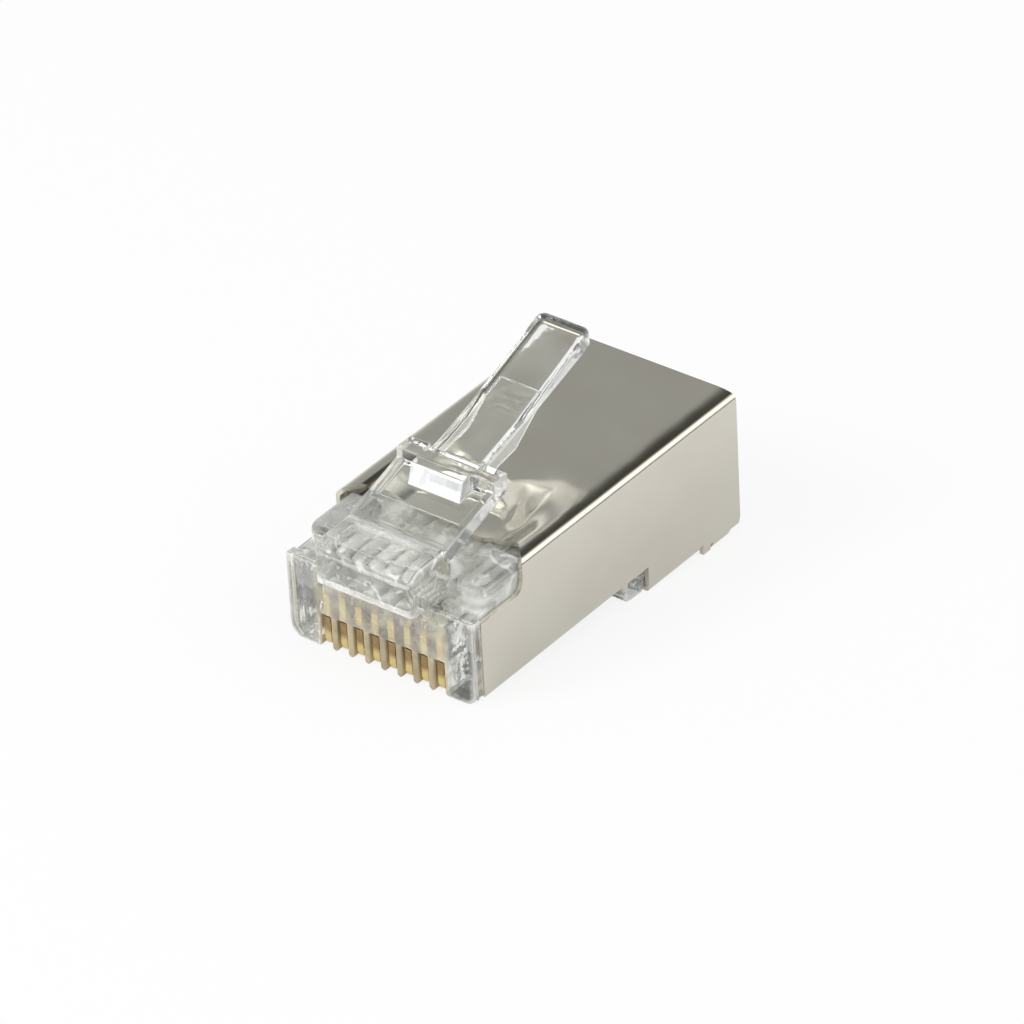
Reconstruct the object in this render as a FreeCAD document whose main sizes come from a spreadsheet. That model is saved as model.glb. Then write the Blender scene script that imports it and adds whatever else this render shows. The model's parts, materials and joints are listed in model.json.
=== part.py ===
"""Shielded eight-way modular plug, as supplied before a cable is crimped into it.

Plug frame used by the outlines: X across the plug, Y from the mating face towards the cable,
Z up towards the latch. Y = 0 is the front of the corner blocks, Z = 0 the underside of the comb.
Every body is then placed so that the origin lies under the middle of the plug, on the ground.
"""
import FreeCAD, Part
import Sketcher
import math
import os
import re

SIZES = {
    # whole plug
    "width": 11.68, "clearance": 0.04, "overshoot": 2.0,
    # shield: one sheet folded over the housing
    "sheet": 0.25, "bend": 0.55, "roof": 6.5, "tail_edge": 22.0,
    "side_front": 0.65, "side_foot": 0.3, "window_back": 4.1, "window_sill": 4.65,
    "hook_front": 12.0, "hook_back": 12.45, "skirt_front": 14.2, "skirt_back": 18.8,
    "skirt_foot": -1.3, "tab_back": 19.4, "tab_foot": -1.6, "collar_front": 19.6,
    "collar_foot": -1.7, "heel_round": 0.8, "lip": 1.7, "seam": 0.1,
    # shield: dish pressed into its roof under the latch, deeper on both sides of the tail
    "dish_floor": 5.5, "dish_half": 3.7, "dish_back": 8.2, "dish_flare": 1.3, "dish_run": 3.0,
    "dish_grow": 0.075, "dish_tongue": 2.0, "tongue_in": 1.0, "tongue_out": 2.7, "dish_round": 0.6,
    # shield: stepped front edge of the roof
    "edge_middle": 5.7, "edge_bump": 5.97, "edge_step": 2.0,
    "edge_bump_in": 2.6, "edge_bump_out": 3.4, "edge_shoulder": 4.7, "edge_shoulder_back": 5.3,
    # housing: clear moulding
    "neck": 0.6, "lap": 0.1, "block_round": 0.8, "core_bevel": 0.3, "block_top": 4.95,
    "deck_front": 1.15, "deck_top": 6.05, "deck_back": 5.0, "deck_corner": 0.9, "deck_round": 0.45,
    "saddle": 5.2, "saddle_back": 11.45, "core_back": 21.6, "core_foot": -1.02,
    "bump_front": 12.5, "bump_back": 14.0, "bump_foot": -1.2, "bump_round": 0.5,
    "nose_front": -1.2, "nose_half": 3.05, "nose_foot": 4.85, "nose_top": 7.35, "nose_drop": 0.35,
    "nose_slope": 0.75, "nose_root": 0.4, "nose_round": 0.3, "gully": 3.3,
    "scoop_half": 2.25, "scoop_front": -0.55, "scoop_back": 1.2, "scoop_deep": 0.3,
    "scoop_round": 0.6,
    # comb and channels
    "pitch": 1.016, "ways": 8, "slot": 0.64, "flare": 0.12, "grip": 0.42,
    "mouth_top": 1.95, "front_wall": 0.3, "well_back": 4.25, "well_top": 3.95,
    "bore_radius": 0.45, "bore_height": 4.25, "bore_front": 0.9,
    "throat": 9.4, "throat_half": 4.1, "throat_foot": 3.75, "throat_top": 4.75, "throat_corner": 0.3,
    "room": 13.8, "room_half": 4.45, "room_foot": -0.3, "room_top": 5.45, "room_corner": 1.3,
    "clamp_front": 14.9, "clamp_back": 18.3, "clamp_half": 3.4, "clamp_web": 0.3, "clamp_slot": 0.5,
    "press_front": 8.0, "press_back": 10.4, "press_half": 4.1, "press_deep": 1.1,
    # latch: strap and shoulders
    "hinge_back": 2.0, "hinge_height": 6.98, "knuckle": 0.4,
    "strap_foot": 6.6, "web_top": 7.15, "rail_top": 7.42, "rail": 0.45, "strap_rise": 0.3,
    "trough_front": 3.4,
    "strap_back": 6.8, "shoulder_front": 5.65, "shoulder_top": 9.1, "shoulder_split": 1.75,
    "shoulder_dip": 0.35, "shoulder_wall": 0.5,
    # latch: tail, its top line first, then its underside from the thumb pad forwards
    "tail_half": 1.625, "tail_front": 4.6, "tail_sink": 0.2, "tail_ramp": 5.05, "tail_top": 9.05,
    "crook_back": 6.6, "crook_top": 9.12, "bow_back": 9.8, "bow_top": 10.02,
    "tip_back": 15.95, "tip_top": 12.33, "tip_foot": 11.2, "pad_front": 10.96, "pad_foot": 9.6,
    "heel_back": 9.45, "heel_foot": 8.5, "tip_corner": 0.5, "tip_round": 0.3, "tail_ease": 0.15,
    "tail_plate": 0.5, "tail_rib": 0.35, "hollow_back": 12.15, "hollow_top": 10.12,
    # contact blade
    "blade": 0.4, "blade_foot": 0.02, "blade_top": 3.1, "tine_top": 3.75, "tine": 0.5,
    "blade_round": 0.5, "blade_lead": 0.12, "lead_top": 1.8,
}

doc = FreeCAD.newDocument("ModularPlug")
sheet = doc.addObject("Spreadsheet::Sheet", "Dims")
for row, (alias, value) in enumerate(SIZES.items(), start=1):
    sheet.set(f"A{row}", alias)
    sheet.set(f"B{row}", str(value))
    sheet.setAlias(f"B{row}", alias)
doc.recompute()


def bound(text):
    """Turn a formula of alias names into one that reads them from the sheet."""
    return re.sub(r"[a-z_]+", lambda name: "Dims." + name[0], text)


def set_size(item, slot, text, unit="mm"):
    item.setExpression(slot, f"({bound(text)}) * 1 {unit}" if unit else bound(text))


def new_body(name):
    body = doc.addObject("PartDesign::Body", name)
    body.Label = name
    set_size(body, "Placement.Base.y", "-(nose_front + tail_edge) / 2")
    set_size(body, "Placement.Base.z", "-collar_foot")
    return body


def new_sketch(body, role, name, level="0"):
    """Sketch on one of the body's own planes, lifted along that plane's normal by level."""
    sketch = body.newObject("Sketcher::SketchObject", name)
    plane = [item for item in body.Origin.OriginFeatures if item.Role == role][0]
    sketch.AttachmentSupport = (plane, [""])
    sketch.MapMode = "FlatFace"
    set_size(sketch, "AttachmentOffset.Base.z", level)
    return sketch


def pin_down(sketch, edge, end, across, up, guess):
    """Tie one point of the sketch to two formulas, measured from the sketch's origin."""
    for kind, text, value in (("DistanceX", across, guess.x), ("DistanceY", up, guess.y)):
        index = sketch.addConstraint(Sketcher.Constraint(kind, -1, 1, edge, end, value))
        set_size(sketch, f"Constraints[{index}]", text)


def outline(sketch, corners):
    """Closed outline of straight edges through the corners, each a pair of formulas."""
    count = len(corners)
    first = sketch.GeometryCount
    turn = 2 * math.pi / count
    spots = [FreeCAD.Vector(math.cos(turn * i), math.sin(turn * i), 0) for i in range(count)]
    for i in range(count):
        sketch.addGeometry(Part.LineSegment(spots[i], spots[(i + 1) % count]), False)
    for i in range(count):
        after = first + (i + 1) % count
        sketch.addConstraint(Sketcher.Constraint("Coincident", first + i, 2, after, 1))
    for i, (across, up) in enumerate(corners):
        pin_down(sketch, first + i, 1, across, up, spots[i])
    return sketch


def oblong(sketch, low, high):
    """Rectangle between two opposite corners."""
    return outline(sketch, [low, (high[0], low[1]), high, (low[0], high[1])])


def octagon(sketch, half, foot, top, corner):
    """Rectangle across the plug with its four corners cut off."""
    right = [(f"{half} - {corner}", foot), (half, f"{foot} + {corner}"),
             (half, f"{top} - {corner}"), (f"{half} - {corner}", top)]
    return outline(sketch, right + [(f"-({across})", up) for across, up in reversed(right)])


def ring(sketch, across, up, radius):
    edge = sketch.addGeometry(Part.Circle(FreeCAD.Vector(1, 1, 0), FreeCAD.Vector(0, 0, 1), 1), False)
    pin_down(sketch, edge, 3, across, up, FreeCAD.Vector(1, 1, 0))
    index = sketch.addConstraint(Sketcher.Constraint("Radius", edge, 1))
    set_size(sketch, f"Constraints[{index}]", radius)
    return sketch


def extrude(body, kind, name, sketch, length, side="One side", back=False):
    feature = body.newObject("PartDesign::" + kind, name)
    feature.Profile = sketch
    feature.SideType = side
    feature.Refine = False
    feature.Reversed = back
    set_size(feature, "Length", length)
    return feature


def loft(body, kind, name, sections):
    feature = body.newObject("PartDesign::" + kind, name)
    feature.Profile = sections[0]
    feature.Sections = sections[1:]
    feature.Ruled = True
    feature.Refine = False
    return feature


def row_of(body, name, original):
    """Repeat a slot or bore once for each way, centred on the plug."""
    pattern = body.newObject("PartDesign::LinearPattern", name)
    pattern.Originals = [original]
    pattern.Refine = False
    plane = [item for item in body.Origin.OriginFeatures if item.Role == "X_Axis"][0]
    pattern.Direction = (plane, [""])
    set_size(pattern, "Length", "pitch * (ways - 1)")
    set_size(pattern, "Occurrences", "ways", unit="")
    body.Tip = pattern
    return pattern


def near(value, target):
    return abs(value - target) < 0.02


def round_off(body, name, radius, wanted):
    """Fillet every edge whose middle point and direction pass the test."""
    doc.recompute()
    base = body.Tip
    chosen = []
    for number, edge in enumerate(base.Shape.Edges, start=1):
        ends = [vertex.Point for vertex in edge.Vertexes]
        if len(ends) == 2 and wanted((ends[0] + ends[1]) / 2, (ends[1] - ends[0])):
            chosen.append(f"Edge{number}")
    if not chosen:
        raise RuntimeError(name + " finds no edge")
    feature = body.newObject("PartDesign::Fillet", name)
    feature.Base = (base, chosen)
    set_size(feature, "Radius", radius)
    return feature


def along_x(run):
    return abs(run.x) > 0.9 * run.Length


def along_y(run):
    return abs(run.y) > 0.9 * run.Length


def along_z(run):
    return abs(run.z) > 0.9 * run.Length


def make_shield():
    """Sheet folded into a channel over the housing, with lips and a collar below the cable end."""
    body = new_body("shield")
    fold = new_sketch(body, "XZ_Plane", "FoldedChannel", "-side_front")
    outline(fold, [
        ("-width / 2", "collar_foot"), ("-width / 2", "roof"),
        ("width / 2", "roof"), ("width / 2", "collar_foot"),
        ("width / 2 - sheet", "collar_foot"), ("width / 2 - sheet", "roof - sheet"),
        ("sheet - width / 2", "roof - sheet"), ("sheet - width / 2", "collar_foot")])
    extrude(body, "Pad", "Channel", fold, "tail_edge - side_front", back=True)

    pan = []
    hollow = []
    for name, drop, grow, top, depth in (
            ("Pan", "sheet", "dish_grow", "roof - sheet", pan), ("Hollow", "0", "0", "roof", hollow)):
        for step, level, half, back, tongue in (
                ("Rim", top, "dish_half + dish_flare", "dish_back + dish_run", "dish_tongue"),
                ("Floor", f"dish_floor - {drop}", "dish_half", "dish_back", "dish_tongue / 4")):
            section = new_sketch(body, "XY_Plane", name + step, level)
            right = [(f"{half} + {grow}", "0"), (f"{half} + {grow}", f"{back} + {grow} / 2"),
                     (f"tongue_out - {grow}", f"{back} + {grow} / 2"),
                     (f"tongue_in - {grow}", f"{back} - {tongue} + {grow} / 2")]
            outline(section, right + [(f"-({across})", up) for across, up in reversed(right)])
            depth.append(section)
    loft(body, "AdditiveLoft", "DishUnderside", pan)
    loft(body, "SubtractiveLoft", "DishTop", hollow)
    reach = SIZES["dish_half"] + SIZES["dish_flare"] + 2 * SIZES["dish_grow"]
    for name, level in (("RimRound", SIZES["roof"]), ("FloorRound", SIZES["dish_floor"]),
                        ("PanRimRound", SIZES["roof"] - SIZES["sheet"]),
                        ("PanFloorRound", SIZES["dish_floor"] - SIZES["sheet"])):
        round_off(body, name, "dish_round", lambda middle, run: near(middle.z, level) and near(run.z, 0)
                  and abs(middle.x) < reach and SIZES["deck_front"] < middle.y < SIZES["skirt_front"])

    front = new_sketch(body, "XY_Plane", "FrontEdge", "roof + overshoot")
    outline(front, [
        ("-width", "-overshoot"), ("width", "-overshoot"), ("width", "window_back"),
        ("width / 2", "window_back"),
        ("edge_shoulder", "edge_shoulder_back"), ("edge_bump_out", "edge_bump"),
        ("edge_bump_in", "edge_bump"), ("edge_step", "edge_middle"), ("-edge_step", "edge_middle"),
        ("-edge_bump_in", "edge_bump"), ("-edge_bump_out", "edge_bump"),
        ("-edge_shoulder", "edge_shoulder_back"),
        ("-width / 2", "window_back"), ("-width", "window_back")])
    extrude(body, "Pocket", "FrontTrim", front, "roof + overshoot - window_sill")

    sides = new_sketch(body, "YZ_Plane", "SideCutouts")
    outline(sides, [
        ("-overshoot", "side_foot"), ("hook_front", "side_foot"), ("hook_front", "0"), ("hook_back", "0"),
        ("hook_back", "side_foot"), ("skirt_front", "side_foot"), ("skirt_front", "skirt_foot"),
        ("skirt_back", "skirt_foot"), ("skirt_back", "tab_foot"), ("tab_back", "tab_foot"),
        ("tab_back", "skirt_foot"), ("collar_front", "skirt_foot"), ("collar_front", "collar_foot"),
        ("collar_front", "collar_foot - overshoot"), ("-overshoot", "collar_foot - overshoot")])
    extrude(body, "Pocket", "SideTrim", sides, "width + overshoot", side="Symmetric")
    round_off(body, "HeelCorners", "heel_round", lambda middle, run: along_x(run)
              and near(middle.y, SIZES["tail_edge"]) and near(middle.z, SIZES["collar_foot"]))
    round_off(body, "OuterFolds", "bend", lambda middle, run: along_y(run) and near(middle.z, SIZES["roof"])
              and near(abs(middle.x), SIZES["width"] / 2))
    round_off(body, "InnerFolds", "bend - sheet",
              lambda middle, run: along_y(run) and near(middle.z, SIZES["roof"] - SIZES["sheet"])
              and near(abs(middle.x), SIZES["width"] / 2 - SIZES["sheet"]))

    for name, start, stop, foot, reach in (
            ("SkirtLips", "skirt_front", "skirt_back", "skirt_foot", "lip"),
            ("CollarFlanges", "collar_front", "tail_edge - heel_round", "collar_foot",
             "width / 2 - seam / 2")):
        flange = new_sketch(body, "XZ_Plane", name + "Section", f"-({start})")
        oblong(flange, (f"width / 2 - ({reach})", foot), ("width / 2 - sheet / 2", f"{foot} + sheet"))
        oblong(flange, ("sheet / 2 - width / 2", foot), (f"({reach}) - width / 2", f"{foot} + sheet"))
        extrude(body, "Pad", name, flange, f"{stop} - {start}", back=True)
    return body


def make_housing():
    """Clear moulding: comb and channels in front, cable room behind, nose and shoulders on top."""
    body = new_body("housing")
    blocks = new_sketch(body, "XZ_Plane", "FrontBlocks")
    oblong(blocks, ("-width / 2", "0"), ("width / 2", "block_top"))
    extrude(body, "Pad", "Blocks", blocks, "neck", back=True)
    round_off(body, "BlockCorners", "block_round", lambda middle, run: along_y(run) and near(middle.z, 0))
    side = new_sketch(body, "YZ_Plane", "SideProfile")
    outline(side, [
        ("neck - lap", "0"), ("bump_front", "0"), ("bump_front", "bump_foot"), ("bump_back", "bump_foot"),
        ("bump_back", "core_foot"), ("core_back", "core_foot"), ("core_back", "roof - sheet - clearance"),
        ("saddle_back", "roof - sheet - clearance"), ("saddle_back", "saddle"), ("deck_back", "saddle"),
        ("deck_back", "deck_top"), ("deck_front", "deck_top"), ("deck_front", "block_top"),
        ("neck - lap", "block_top")])
    extrude(body, "Pad", "Core", side, "width - 2 * (sheet + clearance)", side="Symmetric")
    half = "width / 2 - sheet - clearance"
    for name, start, stop, level, way in (
            ("FootBevel", "neck", "bump_front", "0", "-"),
            ("RoofBevel", "saddle_back", "core_back + overshoot", "roof - sheet - clearance", "+")):
        bevel = new_sketch(body, "XZ_Plane", name, f"-({start})")
        for sign in ("", "-"):
            outline(bevel, [(f"{sign}({half} - 2 * core_bevel)", f"{level} {way} core_bevel"),
                            (f"{sign}({half} + core_bevel)", f"{level} {way} -2 * core_bevel"),
                            (f"{sign}({half} + core_bevel)", f"{level} {way} core_bevel")])
        extrude(body, "Pocket", name + "Cut", bevel, f"{stop} - {start}")

    gully = new_sketch(body, "XY_Plane", "Gully", "roof")
    oblong(gully, ("-gully", "deck_front - overshoot / 2"), ("gully", "deck_back + overshoot / 2"))
    extrude(body, "Pocket", "GullyCut", gully, "roof - saddle")
    round_off(body, "ShoulderCorners", "deck_corner", lambda middle, run: along_z(run)
              and near(middle.y, SIZES["deck_front"]) and abs(middle.x) > SIZES["gully"] + 1)
    round_off(body, "ShoulderTops", "deck_round", lambda middle, run: near(middle.z, SIZES["deck_top"]))
    round_off(body, "BumpEdge", "bump_round", lambda middle, run: along_x(run)
              and near(middle.z, SIZES["bump_foot"]) and near(middle.y, SIZES["bump_front"]))

    nose = new_sketch(body, "YZ_Plane", "NoseProfile")
    outline(nose, [
        ("nose_front", "nose_foot"), ("0", "nose_foot"), ("0", "block_top - nose_root"),
        ("hinge_back", "block_top - nose_root"),
        ("hinge_back", "nose_top"), ("nose_front + nose_slope", "nose_top"),
        ("nose_front", "nose_top - nose_drop")])
    extrude(body, "Pad", "Nose", nose, "2 * nose_half", side="Symmetric")
    round_off(body, "NoseEdges", "nose_round", lambda middle, run: middle.z > SIZES["block_top"] + 0.5
              and middle.y < 0.9 and near(abs(middle.x), SIZES["nose_half"]) or
              along_x(run) and middle.y < 0 and middle.z > 6)
    seat = new_sketch(body, "YZ_Plane", "HingeSeat")
    ring(seat, "hinge_back", "hinge_height", "knuckle + clearance")
    extrude(body, "Pocket", "HingeSeatCut", seat, "width", side="Symmetric")
    scoop = new_sketch(body, "XY_Plane", "NoseScoop", "roof + overshoot")
    oblong(scoop, ("-scoop_half", "scoop_front"), ("scoop_half", "scoop_back"))
    extrude(body, "Pocket", "NoseScoopCut", scoop, "roof + overshoot - nose_top + scoop_deep")
    round_off(body, "ScoopCorners", "scoop_round", lambda middle, run: along_z(run)
              and near(abs(middle.x), SIZES["scoop_half"]) and middle.z > SIZES["roof"])

    first = "pitch * (ways - 1) / 2"
    mouth = new_sketch(body, "XZ_Plane", "SlotMouth", "overshoot")
    outline(mouth, [(f"{across} - {first}", up) for across, up in (
        ("-slot / 2 - 2 * flare", "-flare"), ("slot / 2 + 2 * flare", "-flare"), ("slot / 2", "flare"),
        ("slot / 2", "mouth_top"), ("-slot / 2", "mouth_top"), ("-slot / 2", "flare"))])
    row_of(body, "SlotMouths", extrude(body, "Pocket", "SlotMouthCut", mouth, "well_back + overshoot"))
    well = new_sketch(body, "XZ_Plane", "SlotWell", "-front_wall")
    oblong(well, (f"-grip / 2 - {first}", "mouth_top - lap"), (f"grip / 2 - {first}", "well_top"))
    row_of(body, "SlotWells", extrude(body, "Pocket", "SlotWellCut", well, "well_back - front_wall"))
    bore = new_sketch(body, "XZ_Plane", "Bore", "-bore_front")
    ring(bore, "-" + first, "bore_height", "bore_radius")
    row_of(body, "Bores", extrude(body, "Pocket", "BoreCut", bore, "throat - bore_front + lap"))

    throat = new_sketch(body, "XZ_Plane", "Throat", "-throat")
    octagon(throat, "throat_half", "throat_foot", "throat_top", "throat_corner")
    room = new_sketch(body, "XZ_Plane", "Room", "-room")
    octagon(room, "room_half", "room_foot", "room_top", "room_corner")
    loft(body, "SubtractiveLoft", "Funnel", [throat, room])
    extrude(body, "Pocket", "CableRoom", room, "core_back - room + overshoot")

    clamp = new_sketch(body, "XY_Plane", "JacketClamp", "core_foot - overshoot")
    oblong(clamp, ("-clamp_half", "clamp_front"), ("clamp_half", "clamp_back"))
    oblong(clamp, ("-clamp_half + clamp_slot", "clamp_front + clamp_slot"),
           ("clamp_half - clamp_slot", "clamp_back - clamp_slot"))
    extrude(body, "Pocket", "ClampGroove", clamp, "overshoot + room_foot - core_foot - clamp_web", back=True)
    press = new_sketch(body, "XY_Plane", "ConductorClamp", "-overshoot")
    oblong(press, ("-press_half", "press_front"), ("press_half", "press_back"))
    extrude(body, "Pocket", "PressCut", press, "overshoot + press_deep", back=True)
    return body


def make_latch():
    """Spring lever: knuckle at the hinge, strap with side rails, two shoulders, tail with thumb pad."""
    body = new_body("latch")
    rise = "strap_rise * ({} - hinge_back)"
    strap = new_sketch(body, "YZ_Plane", "StrapProfile")
    outline(strap, [
        ("hinge_back", "strap_foot"), ("strap_back", "strap_foot + " + rise.format("strap_back")),
        ("strap_back", "shoulder_top"), ("shoulder_front", "shoulder_top"),
        ("shoulder_front", "rail_top + " + rise.format("shoulder_front")), ("hinge_back", "rail_top")])
    extrude(body, "Pad", "Strap", strap, "2 * nose_half", side="Symmetric")
    knuckle = ring(new_sketch(body, "YZ_Plane", "KnuckleProfile"), "hinge_back", "hinge_height", "knuckle")
    extrude(body, "Pad", "Knuckle", knuckle, "2 * nose_half", side="Symmetric")
    trough = new_sketch(body, "YZ_Plane", "Trough")
    outline(trough, [
        ("trough_front", "web_top + " + rise.format("trough_front")),
        ("shoulder_front", "web_top + " + rise.format("shoulder_front")),
        ("shoulder_front", "shoulder_top + overshoot"), ("trough_front", "shoulder_top + overshoot")])
    extrude(body, "Pocket", "TroughCut", trough, "2 * (nose_half - rail)", side="Symmetric")
    dip = new_sketch(body, "YZ_Plane", "ShoulderDip")
    oblong(dip, ("shoulder_front + shoulder_wall", "shoulder_top - shoulder_dip"),
           ("strap_back + overshoot", "shoulder_top + overshoot"))
    extrude(body, "Pocket", "ShoulderDipCut", dip, "2 * shoulder_split", side="Symmetric")
    tail = new_sketch(body, "YZ_Plane", "TailProfile")
    outline(tail, [
        ("tail_front", "web_top + " + rise.format("tail_front") + " - tail_sink"), ("tail_ramp", "tail_top"),
        ("crook_back", "crook_top"), ("bow_back", "bow_top"), ("tip_back", "tip_top"),
        ("tip_back", "tip_foot"), ("pad_front", "pad_foot"), ("heel_back", "heel_foot"),
        ("strap_back - lap", "strap_foot + " + rise.format("strap_back"))])
    extrude(body, "Pad", "Tail", tail, "2 * tail_half", side="Symmetric")
    hollow = new_sketch(body, "YZ_Plane", "TailHollow")
    outline(hollow, [
        ("strap_back", "heel_foot - overshoot"), ("hollow_back", "heel_foot - overshoot"),
        ("hollow_back", "hollow_top"), ("strap_back", "crook_top - tail_plate")])
    extrude(body, "Pocket", "TailHollowCut", hollow, "2 * (tail_half - tail_rib)", side="Symmetric")
    round_off(body, "TipCorners", "tip_corner",
              lambda middle, run: along_z(run) and near(middle.y, SIZES["tip_back"]))
    round_off(body, "TipEdges", "tip_round",
              lambda middle, run: along_x(run) and near(middle.y, SIZES["tip_back"]))
    round_off(body, "TailEdges", "tail_ease", lambda middle, run: near(abs(middle.x), SIZES["tail_half"])
              and middle.y > SIZES["crook_back"] and abs(run.y) > 1)
    return body


def make_contact(number):
    """Stamped blade: rounded where the socket's wire rides, with tines that bite into a conductor."""
    body = new_body(f"contact_{number}")
    set_size(body, "Placement.Base.x", f"pitch * ({number} - 1 - (ways - 1) / 2)")
    shape = new_sketch(body, "YZ_Plane", "BladeOutline")
    outline(shape, [
        ("blade_lead", "blade_foot"), ("well_back", "blade_foot"), ("well_back", "blade_top"),
        ("well_back - tine", "tine_top"), ("well_back - 2 * tine", "blade_top"),
        ("front_wall + 3 * tine", "blade_top"), ("front_wall + 2 * tine", "tine_top"),
        ("front_wall + tine", "blade_top"), ("front_wall", "blade_top"),
        ("front_wall", "lead_top"), ("blade_lead", "lead_top")])
    extrude(body, "Pad", "Blade", shape, "blade", side="Symmetric")
    round_off(body, "WireSlope", "blade_round", lambda middle, run: along_x(run)
              and near(middle.y, SIZES["blade_lead"]) and near(middle.z, SIZES["blade_foot"]))
    return body


pieces = [make_housing(), make_latch(), make_shield()]
pieces += [make_contact(number) for number in range(1, SIZES["ways"] + 1)]
doc.recompute()

for item in doc.Objects:
    if "Invalid" in item.State or "Error" in item.State:
        raise RuntimeError(f"{item.Name} is {item.State}")
for piece in pieces:
    if piece.Shape.isNull() or not piece.Shape.isValid():
        raise RuntimeError(piece.Label + " has no valid shape")

os.makedirs("parts", exist_ok=True)
for piece in pieces:
    piece.Shape.exportStep(f"parts/{piece.Label}.step")
    box = piece.Shape.BoundBox
    print(f"{piece.Label}: {len(piece.Shape.Solids)} solid, {piece.Shape.Volume:.2f} mm3, "
          f"{box.XMin:.2f}..{box.XMax:.2f} {box.YMin:.2f}..{box.YMax:.2f} {box.ZMin:.2f}..{box.ZMax:.2f}")
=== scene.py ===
"""Shielded modular plug: clear moulded housing and latch, folded nickel shell, gold contact blades."""
import json

import bmesh
import bpy
import numpy as np
from mathutils import Matrix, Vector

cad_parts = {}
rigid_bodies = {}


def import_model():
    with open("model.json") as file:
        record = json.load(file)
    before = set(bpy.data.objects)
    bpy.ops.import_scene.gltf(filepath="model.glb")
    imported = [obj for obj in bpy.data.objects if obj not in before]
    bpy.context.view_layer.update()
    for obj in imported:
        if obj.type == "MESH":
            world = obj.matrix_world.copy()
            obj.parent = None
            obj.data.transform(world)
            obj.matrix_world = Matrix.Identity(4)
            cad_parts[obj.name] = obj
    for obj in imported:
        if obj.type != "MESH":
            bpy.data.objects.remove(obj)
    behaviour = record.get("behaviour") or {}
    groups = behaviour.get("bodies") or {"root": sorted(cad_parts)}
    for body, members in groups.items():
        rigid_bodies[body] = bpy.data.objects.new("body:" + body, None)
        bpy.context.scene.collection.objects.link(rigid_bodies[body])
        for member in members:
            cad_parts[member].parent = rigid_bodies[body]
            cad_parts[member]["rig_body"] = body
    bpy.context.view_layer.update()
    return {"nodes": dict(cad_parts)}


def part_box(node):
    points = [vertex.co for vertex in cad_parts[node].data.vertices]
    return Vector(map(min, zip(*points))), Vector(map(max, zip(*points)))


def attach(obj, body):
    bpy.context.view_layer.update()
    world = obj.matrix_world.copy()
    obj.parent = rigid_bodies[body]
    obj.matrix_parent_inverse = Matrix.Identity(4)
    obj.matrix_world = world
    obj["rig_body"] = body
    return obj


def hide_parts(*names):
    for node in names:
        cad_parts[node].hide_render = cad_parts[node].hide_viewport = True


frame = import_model()
bpy.context.scene.view_settings.view_transform = "Standard"


# Studio. The plug lies on a sweep of white paper inside a white tent. Grey, dark and bright panels in
# the tent show in its mirror-bright shell and through its clear plastic. Two soft lamps light it.
MM = 0.001


class Value:
    """A number, colour or vector that a material works out, so that shader maths reads as arithmetic."""

    def __init__(self, tree, socket=None):
        self.tree = tree
        self.socket = socket

    def node(self, kind, settings=None, inputs=None, out=0):
        """A node of that kind: its settings first, then the values or links of its sockets."""
        item = self.tree.nodes.new("ShaderNode" + kind)
        for name, setting in (settings or {}).items():
            setattr(item, name, setting)
        for name, given in (inputs or {}).items():
            if isinstance(given, Value):
                self.tree.links.new(given.socket, item.inputs[name])
            else:
                item.inputs[name].default_value = given
        return Value(self.tree, item.outputs[out])

    def maths(self, operation, *terms):
        return self.node("Math", {"operation": operation}, dict(enumerate(terms)))

    def __add__(self, other):
        return self.maths("ADD", self, other)

    __radd__ = __add__

    def __sub__(self, other):
        return self.maths("SUBTRACT", self, other)

    def __rsub__(self, other):
        return self.maths("SUBTRACT", other, self)

    def __mul__(self, other):
        return self.maths("MULTIPLY", self, other)

    __rmul__ = __mul__

    def part(self, axis):
        """The X, Y or Z part of a vector."""
        return self.node("SeparateXYZ", inputs={0: self}, out=axis)

    def ramp(self, low, high):
        """0 below low, 1 above high, and a smooth rise between."""
        return self.node("MapRange", {"interpolation_type": "SMOOTHSTEP"},
                         {"Value": self, "From Min": low, "From Max": high})

    def mix(self, first, second):
        """Colour that goes from first to second as this value goes from 0 to 1."""
        return self.node("Mix", {"data_type": "RGBA"}, {0: self, 6: first, 7: second}, out=2)


def new_material(name):
    """An empty node material, as (material, starting value, output node)."""
    material = bpy.data.materials.new(name)
    material.use_nodes = True
    material.node_tree.nodes.clear()
    output = material.node_tree.nodes.new("ShaderNodeOutputMaterial")
    return material, Value(material.node_tree), output


def seen_directly(start):
    """1 for the camera's rays and for those that a mirror or clear plastic sends on, else 0."""
    rays = [start.node("LightPath", out=name) for name in
            ("Is Camera Ray", "Is Glossy Ray", "Is Transmission Ray")]
    return start.maths("MAXIMUM", start.maths("MAXIMUM", rays[0], rays[1]), rays[2])


# The plug stands on the front of its collar and, higher up, on the foot of its comb, so the paper
# rises evenly from the one to the other.
collar_stands_y = 9.2 * MM
comb_stands_y = -10.2 * MM
comb_stands_z = 1.7 * MM
sweep_half = 0.6
sweep_x, sweep_y = np.meshgrid([-sweep_half, sweep_half], [-sweep_half, sweep_half], indexing="ij")
sweep_z = (collar_stands_y - sweep_y) * comb_stands_z / (collar_stands_y - comb_stands_y)
sweep_points = np.stack([sweep_x, sweep_y, sweep_z], axis=-1).reshape(-1, 3)
sweep_mesh = bpy.data.meshes.new("sweep")
sweep_mesh.from_pydata(sweep_points.tolist(), [], [(0, 2, 3, 1)])
sweep = bpy.data.objects.new("sweep", sweep_mesh)
bpy.context.scene.collection.objects.link(sweep)
paper, start, output = new_material("white_paper")
matt = start.node("BsdfDiffuse", inputs={"Color": (0.84, 0.84, 0.84, 1)})
glow = start.node("Emission", inputs={"Color": (1, 1, 1, 1), "Strength": 1.0})
mirror_ray = start.node("LightPath", out="Is Glossy Ray")
glow_share = 0.85
less_in_mirrors = 0.55
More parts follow.
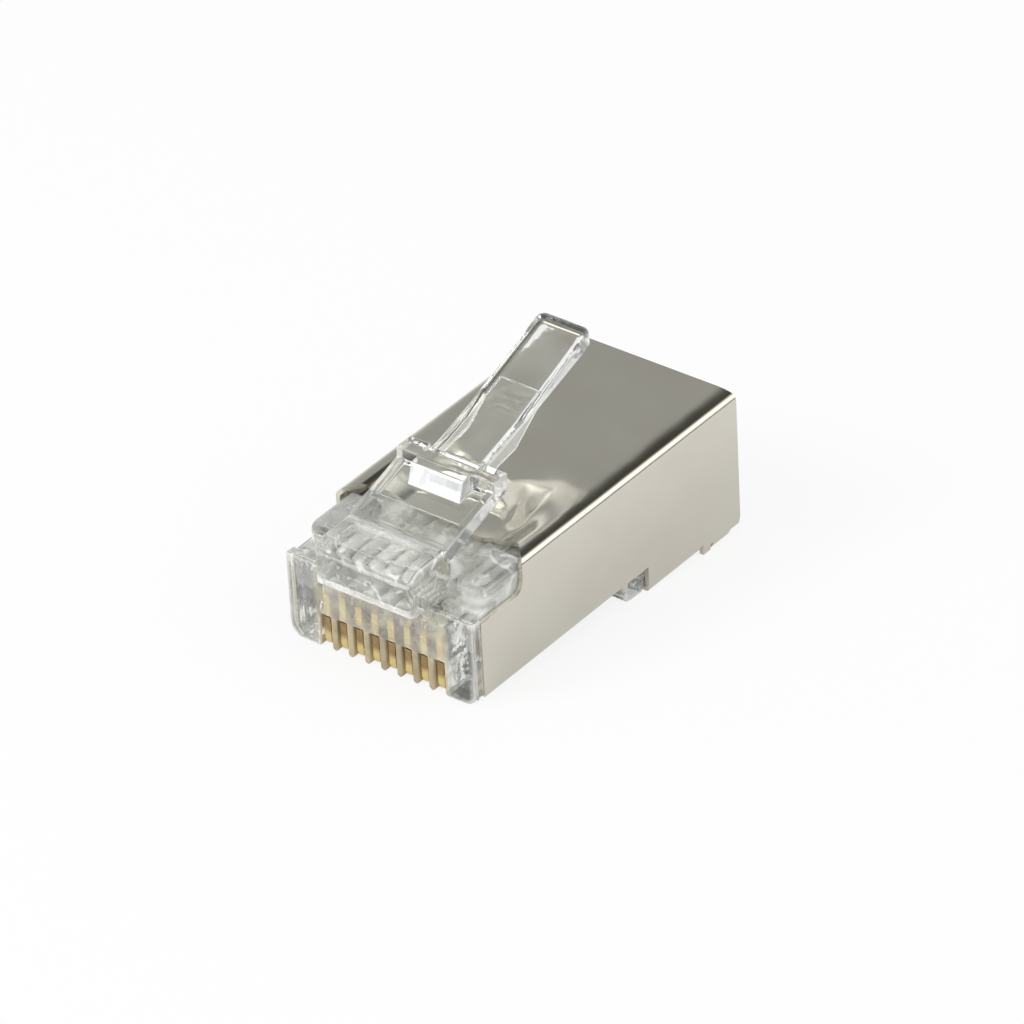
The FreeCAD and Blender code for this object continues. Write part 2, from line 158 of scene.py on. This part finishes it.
shown = start.node("MixShader", inputs={
    0: seen_directly(start) * (glow_share - less_in_mirrors * mirror_ray), 1: matt, 2: glow})
paper.node_tree.links.new(shown.socket, output.inputs["Surface"])
sweep_mesh.materials.append(paper)

world = bpy.data.worlds.new("tent")
world.use_nodes = True
world.node_tree.nodes.clear()
bpy.context.scene.world = world
start = Value(world.node_tree)
through = start.node("LightPath", out="Is Transmission Ray")

# Panels of the tent, each found from the direction in which it lies: east is the plug's right, north
# its cable end. Each is laid over those before it, and its colour is how bright it is. Through clear
# plastic the grey roof shows fainter, and the last panel lies over all the others as a bright veil.
direction = start.node("TexCoord", out="Generated")
east, north, height = (direction.part(axis) for axis in "XYZ")
far_wall = north.ramp(0.5, 0.6)
grey_roof = (height.ramp(0.1, 0.4) * north.ramp(-0.7, -0.3) * (1 - east.ramp(0.5, 0.7))
             * (1 - far_wall * east.ramp(0.1, 0.28)))
window = far_wall * east.ramp(0.26, 0.38) * height.ramp(0.2, 0.3)
west_wall = 1 - east.ramp(-0.42, -0.36)
tube = (west_wall * east.ramp(-0.62, -0.56) * north.ramp(0.4, 0.46) * (1 - north.ramp(0.5, 0.56))
        * height.ramp(0.3, 0.5))
hood = (east * -0.39 + north * -0.65 + height * 0.652).ramp(0.96, 0.985)
west_card = west_wall * north.ramp(-0.1, 0.0) * (1 - north.ramp(0.28, 0.36)) * height.ramp(0.5, 0.7)
black_card = (east * -0.2 + north * 0.642 + height * 0.741).ramp(0.955, 0.99)
skirting = east.ramp(0.4, 0.6) * height.ramp(-0.04, 0.0) * (1 - height.ramp(0.1, 0.14))
panels = (
    (grey_roof * (1 - 0.8 * through), (0.41, 0.42, 0.41, 1)),
    (window, (1.7, 1.7, 1.65, 1)),
    (tube, (3.0, 3.0, 2.9, 1)),
    (hood, (2.6, 2.6, 2.5, 1)),
    (west_card, (0.25, 0.25, 0.22, 1)),
    (start.maths("MAXIMUM", black_card, skirting), (0.06, 0.06, 0.05, 1)),
    (0.45 * through, (1.5, 1.5, 1.48, 1)),
)
tent_colour = (1, 1, 1, 1)
for share, colour in panels:
    tent_colour = share.mix(tent_colour, colour)

# The tent's even light, the panels for mirrors and clear plastic, and plain white for the camera.
even = start.node("Background", inputs={"Color": (1, 1, 1, 1), "Strength": 0.74})
tent = start.node("Background", inputs={"Color": tent_colour, "Strength": 1.0})
white = start.node("Background", inputs={"Color": (1, 1, 1, 1), "Strength": 1.0})
camera_ray = start.node("LightPath", out="Is Camera Ray")
reflected = start.node("MixShader", inputs={0: seen_directly(start), 1: even, 2: tent})
whole = start.node("MixShader", inputs={0: camera_ray, 1: reflected, 2: white})
world_output = world.node_tree.nodes.new("ShaderNodeOutputWorld")
world.node_tree.links.new(whole.socket, world_output.inputs["Surface"])


def stand(item, right, up, back, place):
    """Put a lamp or camera into the scene at a place, with these as its right, its up and its back."""
    matrix = np.eye(4)
    matrix[:3] = np.column_stack((right, up, back, place))
    item.matrix_world = matrix.T.tolist()
    bpy.context.scene.collection.objects.link(item)


plug_middle = (0, 0, 5 * MM)


def lamp(name, place, size, power):
    """A square soft lamp that faces the plug, its sides size long, all in metres."""
    light = bpy.data.lights.new(name, "AREA")
    light.size = size
    light.energy = power
    item = bpy.data.objects.new(name, light)
    back = np.array(place) - plug_middle
    back /= np.linalg.norm(back)
    right = np.cross((0, 0, 1), back)
    right /= np.linalg.norm(right)
    stand(item, right, np.cross(back, right), back, place)
    return item


key_lamp = lamp("key_lamp", (-0.15, -0.25, 0.25), size=0.15, power=0.65)
key_lamp.visible_glossy = False
key_lamp.visible_transmission = False
lamp("fill_lamp", (0.3, 0.1, 0.3), size=0.3, power=0.35)


# Camera. A long lens from high in front of the plug's right-hand corner, rolled a little, as a
# product camera looks down at a small part on a table.
azimuth, elevation, roll = np.radians((38.98, 34.02, -3.096))
stand_off = 409.26 * MM
aim = np.array((0, -0.4, 5.7)) * MM
offset = np.array((0.4825, -0.1395)) * MM
back = np.array((np.sin(azimuth) * np.cos(elevation), -np.cos(azimuth) * np.cos(elevation),
                 np.sin(elevation)))
level = np.array((np.cos(azimuth), np.sin(azimuth), 0))
upright = np.cross(back, level)
right = np.cos(roll) * level + np.sin(roll) * upright
up = np.cos(roll) * upright - np.sin(roll) * level
lens = 287.3
camera_data = bpy.data.cameras.new("camera")
camera_data.lens = lens
camera_data.clip_start = 0.01
camera_data.clip_end = 10
camera = bpy.data.objects.new("camera", camera_data)
stand(camera, right, up, back, aim + offset[0] * right + offset[1] * up + stand_off * back)
bpy.context.scene.camera = camera


# Shell. Thin brass sheet, nickel plated and left bright, punched flat and then folded over the
# housing: a roof with a dish pressed in under the latch, two walls, lips below and a cable collar.
# It is worked out in millimetres, the right half first.
low, high = (np.array(corner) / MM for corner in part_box("shield"))
gauge = 0.25
wall_x = high[0]
roof_z = high[2]

# Long folds: a slow start as the sheet springs back, then the folding bar's round.
spring_run = 0.9
spring_angle = np.radians(11)
spring_rows = 6
bar_round = 0.42
bar_rows = 9

# Punched front edge, stepped in the middle, and the window in the wall under it.
edge_x = (0, 2.0, 2.6, 3.4, 4.7, wall_x)
edge_y = (-4.7, -4.7, -4.43, -4.43, -5.1, -6.3)
swept_over = 3.3
window_y = edge_y[-1]
window_round = 0.6
sill_z = 6.35

# Feet of the wall, each as its front, its back and its height.
plain_foot = 2.0
hook = (1.6, 2.05, 1.7)
skirt = (3.8, 8.4, 0.4)
tab = (8.4, 9.0, 0.1)
slit = (tab[1], 9.2, skirt[2])
collar = (slit[1], high[1], 0.0)
heel_round = 0.8

# Lips folded in under the skirt and the collar, and the x that each reaches to.
lip_fold = 0.35
lip_rows = 8
skirt_lip_x = wall_x - 1.7
collar_lip_x = 0.05

# Dish: its depth, where its back edge is and over what run that slopes, and the same for its sides.
# In the middle a tongue of the roof comes forward into it, flared at its sides, with a shorter slope.
dish_deep = 1.0
dish_back_y = 0.6
dish_back_run = 4.4
dish_side_x = 5.15
dish_side_run = 2.3
tongue_half = 0.8
tongue_flare = 2.9
tongue_out = 1.5
tongue_shorter = 2.8

# Spacing of the grid on the roof, the wall and the lips, with one more line of it across the roof and
# one along the sheet, which keep its squares even. Places within snug of each other are the same.
roof_grid = 0.17
wall_grid = 0.33
lip_grid = 0.4
even_x = 4.0
even_y = 1.3
snug = 0.001


def steps(*stops, pitch):
    """Values from each stop to the next in even steps, no further apart than the pitch."""
    spans = [np.linspace(a, b, max(1, int(np.ceil(abs(b - a) / pitch))), endpoint=False)
             for a, b in zip(stops, stops[1:])]
    return np.append(np.concatenate(spans), stops[-1])


def rise(value):
    """0 below 0, 1 above 1, and a smooth S between."""
    value = np.clip(value, 0, 1)
    return value * value * (3 - 2 * value)


def pressed(value):
    """0 below 0, 1 above 1: a slope that grows evenly from none, and then turns level sharply."""
    value = np.clip(value, 0, 1)
    knee = 0.8
    return np.where(value < knee, value ** 2 / knee, 1 - (1 - value) ** 2 / (1 - knee))


def dished(x, y):
    """How far the roof is pressed down: by its back edge's slope times an S across its sides. The
    back edge comes forward as a tongue in the middle, where the latch's tail passes over, and is a
    little uneven."""
    tongue = 1 - rise((np.abs(x) - tongue_half) / tongue_flare)
    uneven = 0.1 * np.sin(3.9 * x + 0.6) + 0.02 * np.sin(9.7 * x)
    back = dish_back_y - tongue_out * tongue + uneven
    run = dish_back_run - tongue_shorter * tongue
    return dish_deep * pressed((back - y) / run) * rise((dish_side_x - np.abs(x)) / dish_side_run)


def heel(y, z):
    """Pull the cable end's lower corner back into a quarter round, as punched: by the radius less the
    square root of its square less the lift's, shared out evenly along the collar."""
    lift = np.clip(heel_round - z, 0, heel_round)
    short = heel_round - np.sqrt(heel_round ** 2 - lift ** 2)
    return y - short * np.clip((y - collar[0]) / (collar[1] - collar[0]), 0, 1)


def roof_fold():
    """The fold's section, as distances out from where it starts and down from the roof. Its slope
    first grows slowly, as sheet springs back, and then turns to the upright round the folding bar.
    The distances are the sums of short lengths, each times the cosine or sine of its slope."""
    slope = np.concatenate((np.linspace(0, spring_angle, spring_rows + 1),
                            np.linspace(spring_angle, np.pi / 2, bar_rows + 1)[1:]))
    middle = (slope[1:] + slope[:-1]) / 2
    bar_run = bar_round * (np.pi / 2 - spring_angle)
    length = np.repeat((spring_run / spring_rows, bar_run / bar_rows), (spring_rows, bar_rows))
    out = np.append(0, np.cumsum(length * np.cos(middle)))
    down = np.append(0, np.cumsum(length * np.sin(middle)))
    return out, down


def squares(shape, first=0):
    """Corner numbers of every square in a grid of points, counted from the first."""
    index = np.arange(shape[0] * shape[1]).reshape(shape) + first
    return np.stack((index[:-1, :-1], index[1:, :-1], index[1:, 1:], index[:-1, 1:]), axis=-1)


def roof_and_wall(along):
    """Right half of the sheet's outer face above its lips, as points and squares. One section, roof,
    fold and wall, is carried along y, its rows at the same heights all along so that every cut falls
    on a row. The front edge is then swept back, the dish pressed in and the window's corner rounded."""
    fold_out, fold_down = roof_fold()
    flat = steps(*edge_x[:4], even_x, wall_x - fold_out[-1], pitch=roof_grid)
    wall_z = steps(roof_z - fold_down[-1], sill_z + window_round, sill_z, plain_foot, hook[2],
                   skirt[2] + lip_fold, skirt[2], lip_fold, tab[2], 0.0, pitch=wall_grid)
    section_x = np.concatenate((flat, flat[-1] + fold_out[1:], np.full(len(wall_z) - 1, wall_x)))
    section_z = np.concatenate((np.full(len(flat), roof_z), roof_z - fold_down[1:], wall_z[1:]))
    on_roof = (np.arange(len(section_x)) < len(flat) + len(fold_out) - 2)[:, None]
    x, y = np.meshgrid(section_x, along, indexing="ij")
    z = np.repeat(section_z[:, None], len(along), axis=1)

    middle_y = ((along[1:] + along[:-1]) / 2)[None, :]
    top_z, foot_z = section_z[:-1, None], section_z[1:, None]
    foot = np.full(middle_y.shape, plain_foot)
    for front, back, level in (hook, tab, slit, (*skirt[:2], skirt[2] + lip_fold),
                               (*collar[:2], collar[2] + lip_fold)):
        foot[(middle_y > front) & (middle_y < back)] = level
    corner = (middle_y > window_y - window_round) & (top_z < sill_z + window_round + snug)
    kept = (foot_z > foot - snug) & ((middle_y > window_y) | (top_z < sill_z + snug) | corner)

    near_front = 1 - rise((y - window_y) / swept_over)
    y = y + near_front * (np.interp(np.abs(x), edge_x, edge_y) - window_y) * on_roof
    z = z - dished(x, y) * on_roof
    run = np.clip(y - window_y + window_round, 0, window_round)
    arc = 1 - np.sqrt(1 - (run / window_round) ** 2)
    z = np.where((y < window_y - snug) & (z > sill_z) & ~on_roof, sill_z + (z - sill_z) * arc, z)
    return np.stack((x, heel(y, z), z), axis=-1).reshape(-1, 3), squares(x.shape)[kept]


def lip(along, front, back, level, reach, first):
    """A lip between front and back, as points and squares: a quarter turn inwards at the foot of the
    wall, and then a flat strip at that level that reaches to that x. Its points count from first."""
    angle = np.linspace(0, np.pi / 2, lip_rows + 1)
    inwards = steps(wall_x - lip_fold, reach, pitch=lip_grid)
    lip_x = np.concatenate((wall_x - lip_fold + lip_fold * np.cos(angle), inwards[1:]))
    lip_z = np.concatenate((level + lip_fold - lip_fold * np.sin(angle),
                            np.full(len(inwards) - 1, level)))
    x, y = np.meshgrid(lip_x, along[(along > front - snug) & (along < back + snug)], indexing="ij")
    z = np.repeat(lip_z[:, None], x.shape[1], axis=1)
    return np.stack((x, heel(y, z), z), axis=-1).reshape(-1, 3), squares(x.shape, first).reshape(-1, 4)


heel_y = collar[1] - heel_round
along = steps(low[1], window_y - window_round, window_y, window_y + swept_over, even_y, *hook[:2],
              *skirt[:2], *slit[:2], heel_y, collar[1], pitch=roof_grid)
points, faces = roof_and_wall(along)
for front, back, level, reach in ((*skirt, skirt_lip_x), (collar[0], heel_y, collar[2], collar_lip_x)):
    more_points, more_faces = lip(along, front, back, level, reach, len(points))
    points = np.concatenate((points, more_points))
    faces = np.concatenate((faces, more_faces))
mirrored = points * (-1, 1, 1)
mesh = bpy.data.meshes.new("shell")
mesh.from_pydata((np.concatenate((points, mirrored)) * MM).tolist(), [],
                 np.concatenate((faces, faces[:, ::-1] + len(points))).tolist())
joined = bmesh.new()
joined.from_mesh(mesh)
bmesh.ops.remove_doubles(joined, verts=joined.verts, dist=0.0005 * MM)
bmesh.ops.delete(joined, geom=[v for v in joined.verts if not v.link_faces], context="VERTS")
joined.to_mesh(mesh)
joined.free()
mesh.shade_smooth()
shell = bpy.data.objects.new("shell", mesh)
bpy.context.scene.collection.objects.link(shell)
wall = shell.modifiers.new("gauge", "SOLIDIFY")
wall.thickness = gauge * MM
wall.offset = -1
wall.use_even_offset = True
shell_mesh = bpy.data.meshes.new_from_object(shell.evaluated_get(bpy.context.evaluated_depsgraph_get()))
shell.modifiers.clear()
shell.data = shell_mesh
shell_mesh.set_sharp_from_angle(angle=np.radians(40))

nickel, start, output = new_material("nickel_plate")
place = start.node("TexCoord", out="Object")
cloudy = start.node("TexNoise", inputs={"Vector": place, "Scale": 250.0, "Detail": 2.0})
dent = start.node("TexNoise", inputs={"Vector": place, "Scale": 350.0, "Detail": 1.0})
relief = start.node("Bump", inputs={"Height": dent, "Strength": 0.15, "Distance": 0.0003})
surface = start.node("BsdfPrincipled", inputs={
    "Base Color": cloudy.mix((0.65, 0.6, 0.54, 1), (0.69, 0.685, 0.595, 1)),
    "Metallic": 1.0, "Roughness": 0.1 + 0.14 * cloudy, "Normal": relief})
nickel.node_tree.links.new(surface.socket, output.inputs["Surface"])
shell_mesh.materials.append(nickel)
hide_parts("shield")
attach(shell, "plug")


# Housing and latch. Clear polycarbonate, very slightly milky, moulded in one go with the spring latch.
# Where the mould's faces meet, the edges carry a painted highlight, and white squiggles on the outer
# faces are painted glints.
def soften(node, grain, passes, limit):
    """The node's form with its edges eased as a mould leaves them: its surface rebuilt on an even
    grid as fine as the grain, smoothed, and thinned to about the limit of triangles. The grain is
    in millimetres."""
    mesh = frame["nodes"][node].data.copy()
    mesh.materials.clear()
    mesh.transform(Matrix.Scale(1 / MM, 4))
    joined = bmesh.new()
    joined.from_mesh(mesh)
    bmesh.ops.remove_doubles(joined, verts=joined.verts, dist=snug)
    joined.to_mesh(mesh)
    joined.free()
    piece = bpy.data.objects.new(node + "_moulding", mesh)
    bpy.context.scene.collection.objects.link(piece)
    remesh = piece.modifiers.new("grid", "REMESH")
    remesh.mode = "VOXEL"
    remesh.voxel_size = grain
    smooth = piece.modifiers.new("ease", "SMOOTH")
    smooth.factor = 0.5
    smooth.iterations = passes
    built = piece.evaluated_get(bpy.context.evaluated_depsgraph_get())
    if len(built.data.polygons) > limit:
        thin = piece.modifiers.new("thin", "DECIMATE")
        thin.ratio = limit / (2 * len(built.data.polygons))
        built = piece.evaluated_get(bpy.context.evaluated_depsgraph_get())
    mesh = bpy.data.meshes.new_from_object(built)
    piece.modifiers.clear()
    piece.data = mesh
    mesh.transform(Matrix.Scale(MM, 4))
    mesh.shade_smooth()
    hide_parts(node)
    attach(piece, frame["nodes"][node]["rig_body"])
    return piece


def inside(place, low, high, soft=0.1):
    """1 within the box between two corners given in millimetres, with soft edges."""
    whole = 1
    for axis, a, b in zip("XYZ", low, high):
        value = place.part(axis)
        whole = whole * value.ramp((a - soft) * MM, a * MM) * (1 - value.ramp(b * MM, (b + soft) * MM))
    return whole


def painted_edge_highlights(start, reach, low, high):
    """Where the painted edge highlights go: 1 along outward edges, where the surface turns away within
    the reach, and 0 on flat faces.
    """
    buried = start.node("AmbientOcclusion", {"inside": True, "only_local": True, "samples": 6},
                        {"Distance": reach * MM}, out="AO")
    return (1 - buried).ramp(low, high)


def clear_plastic(name, tint, finish):
    """Polycarbonate of that tint, part glassy and part milky, that lets the lamps shine through. The
    finish takes the start, the place and a soft swirl. It gives the share that is milky, its tone,
    the roughness of the glassy rest, how deep the surface ripples, and the edges that carry a painted
    highlight."""
    plastic, start, output = new_material(name)
    place = start.node("TexCoord", out="Object")
    flow = start.node("TexNoise", inputs={"Vector": place, "Scale": 1100.0, "Detail": 2.0})
    swirl = start.node("TexNoise", inputs={
        "Vector": place, "Scale": 420.0, "Detail": 3.0, "Distortion": 0.6})
    share, tone, rough, deep, edges = finish(start, place, swirl.ramp(0.35, 0.7))
    ripple = start.node("Bump", inputs={"Height": flow * deep, "Strength": 1.0, "Distance": 0.0001})
    glassy = start.node("BsdfPrincipled", inputs={
        "Base Color": tint, "Roughness": rough, "Transmission Weight": 1.0, "IOR": 1.585,
        "Normal": ripple})
    lamplight = start.node("BsdfTransparent", inputs={"Color": (0.95, 0.95, 0.93, 1)})
    lamplight_share = 0.8
    shadow_ray = start.node("LightPath", out="Is Shadow Ray")
    clear = start.node("MixShader", inputs={0: lamplight_share * shadow_ray, 1: glassy, 2: lamplight})
    milky = start.node("BsdfPrincipled", inputs={
        # Along the edges the milky part is painted white and mirror-bright, a painted highlight.
        "Base Color": edges.mix(tone, (1, 1, 1, 1)), "Metallic": edges,
        "Roughness": 0.3 - 0.1 * edges, "Normal": ripple})
    edge_highlight_share = 0.8
    share = share + edges * (edge_highlight_share - share)
    surface = start.node("MixShader", inputs={0: share, 1: clear, 2: milky})
    plastic.node_tree.links.new(surface.socket, output.inputs["Surface"])
    return plastic


def housing_finish(start, place, swirl):
    """Milkier in the nose and the saddle, and in the comb, which is tinted by a painted reflection of
    the blades' gold. The channels for the wires are left rough by their core pins. Painted glints and
    painted edge highlights show only in the outer parts, clear of the comb and the room behind it."""
    nose = inside(place, (-2.7, -11.3, 6.8), (2.7, -9.2, 8.7), soft=0.5)
    comb = inside(place, (-4.0, -11.7, 1.6), (4.0, -10.0, 6.2), soft=0.4)
    ribs = inside(place, (-4.0, -11.7, 1.6), (4.0, -10.0, 3.6))
    bores = inside(place, (-4.1, -9.5, 5.45), (4.1, -0.9, 6.45))
    saddle = inside(place, (-5.6, -9.4, 6.5), (5.6, -4.4, 7.1), soft=0.3)
    shoulders = inside(place, (-5.6, -9.4, 7.3), (5.6, -4.4, 8.0))
    outer = 1 - inside(place, (-4.6, -11.7, 0.0), (4.6, 2.0, 6.4), soft=0.2)
    speckle = start.node("TexNoise", inputs={"Vector": place, "Scale": 1700.0, "Detail": 2.0})
    speckle = speckle.ramp(0.35, 0.65)
    # White squiggles over the outer faces are painted glints.
    glint_noise = start.node("TexNoise", inputs={
        "Vector": place, "Scale": 1000.0, "Detail": 2.0, "Distortion": 1.5})
    painted_glints = glint_noise.ramp(0.56, 0.72) * outer * (1 - bores)
    cool = swirl.mix((0.7, 0.71, 0.66, 1), (0.98, 0.99, 0.95, 1))
    # The comb's tints are a painted reflection of the gold blades behind it, deepest on the ribs.
    gold_reflection_tone = speckle.mix((1.0, 0.88, 0.78, 1), (1.0, 0.98, 0.72, 1))
    gold_reflection_tone = ribs.mix(gold_reflection_tone, (0.92, 0.76, 0.48, 1))
    share = 0.04 + 0.15 * swirl + 0.06 * speckle + 0.1 * nose + 0.3 * bores + 0.13 * comb + 0.16 * ribs
    share = share + saddle * (0.12 + 0.38 * swirl) + 0.05 * shoulders
    share = share + painted_glints * (0.55 - share)
    tone = painted_glints.mix(comb.mix(cool, gold_reflection_tone), (1, 1, 1, 1))
    return share, tone, 0.02 + 0.3 * bores, 0.35, painted_edge_highlights(start, 0.4, 0.22, 0.42) * outer


def latch_finish(start, place, swirl):
    """Clear, but scratched white on the step that carries the tail up from the strap. The upright
    sides are whitened more faintly, a painted highlight for the bright rims they show."""
    facing = start.node("NewGeometry", out="Normal")
    sideways = start.maths("ABSOLUTE", facing.part("X"))
    forwards = -1 * facing.part("Y")
    grooves = start.node("VectorMath", {"operation": "MULTIPLY"}, {0: place, 1: (1.0, 0.2, 0.06)})
    scratch = start.node("TexNoise", inputs={"Vector": grooves, "Scale": 6000.0, "Detail": 1.0})
    step = inside(place, (-1.6, -5.85, 9.3), (1.6, -5.3, 10.8)) * forwards.ramp(0.4, 0.8)
    # The step is scratched white. The upright sides' fainter white is a painted highlight.
    frost_and_rim_sheen = start.maths("MAXIMUM", step, 0.4 * sideways.ramp(0.7, 0.95))
    share = 0.01 + 0.04 * swirl
    share = share + frost_and_rim_sheen * (0.5 + 0.45 * scratch - share)
    tone = frost_and_rim_sheen.mix((0.8, 0.81, 0.79, 1), (0.94, 0.96, 0.97, 1))
    return share, tone, 0.03, 0.12, painted_edge_highlights(start, 0.15, 0.12, 0.4)


housing = soften("housing", grain=0.055, passes=2, limit=95000)
housing.data.materials.append(clear_plastic(
    "housing_plastic", (0.95, 0.955, 0.92, 1), housing_finish))
latch = soften("latch", grain=0.045, passes=2, limit=95000)
latch.data.materials.append(clear_plastic(
    "latch_plastic", (0.94, 0.945, 0.92, 1), latch_finish))


# Contacts. Stamped phosphor bronze blades, one for each way of the plug, gold plated and pressed into
# the comb's slots. Across the middle of each front edge the gold is painted brown, a painted shade for
# the shadow in the slot's mouth.
gold, start, output = new_material("gold_plate")
place = start.node("TexCoord", out="Object")
grain = start.node("TexNoise", inputs={"Vector": place, "Scale": 3000.0, "Detail": 2.0})
height = place.part("Z")
# Brown band across the blades' middle heights, a painted shade for the shadow in the slot's mouth.
painted_mouth_shade = height.ramp(2.4 * MM, 2.9 * MM) * (1 - height.ramp(3.5 * MM, 3.8 * MM)) * (0.5 + grain)
surface = start.node("BsdfPrincipled", inputs={
    "Base Color": painted_mouth_shade.mix((0.82, 0.65, 0.31, 1), (0.36, 0.25, 0.12, 1)),
    "Metallic": 1.0, "Roughness": 0.18 + 0.15 * grain})
gold.node_tree.links.new(surface.socket, output.inputs["Surface"])
for name, node in frame["nodes"].items():
    if name.startswith("contact"):
        node.data.materials.clear()
        node.data.materials.append(gold)
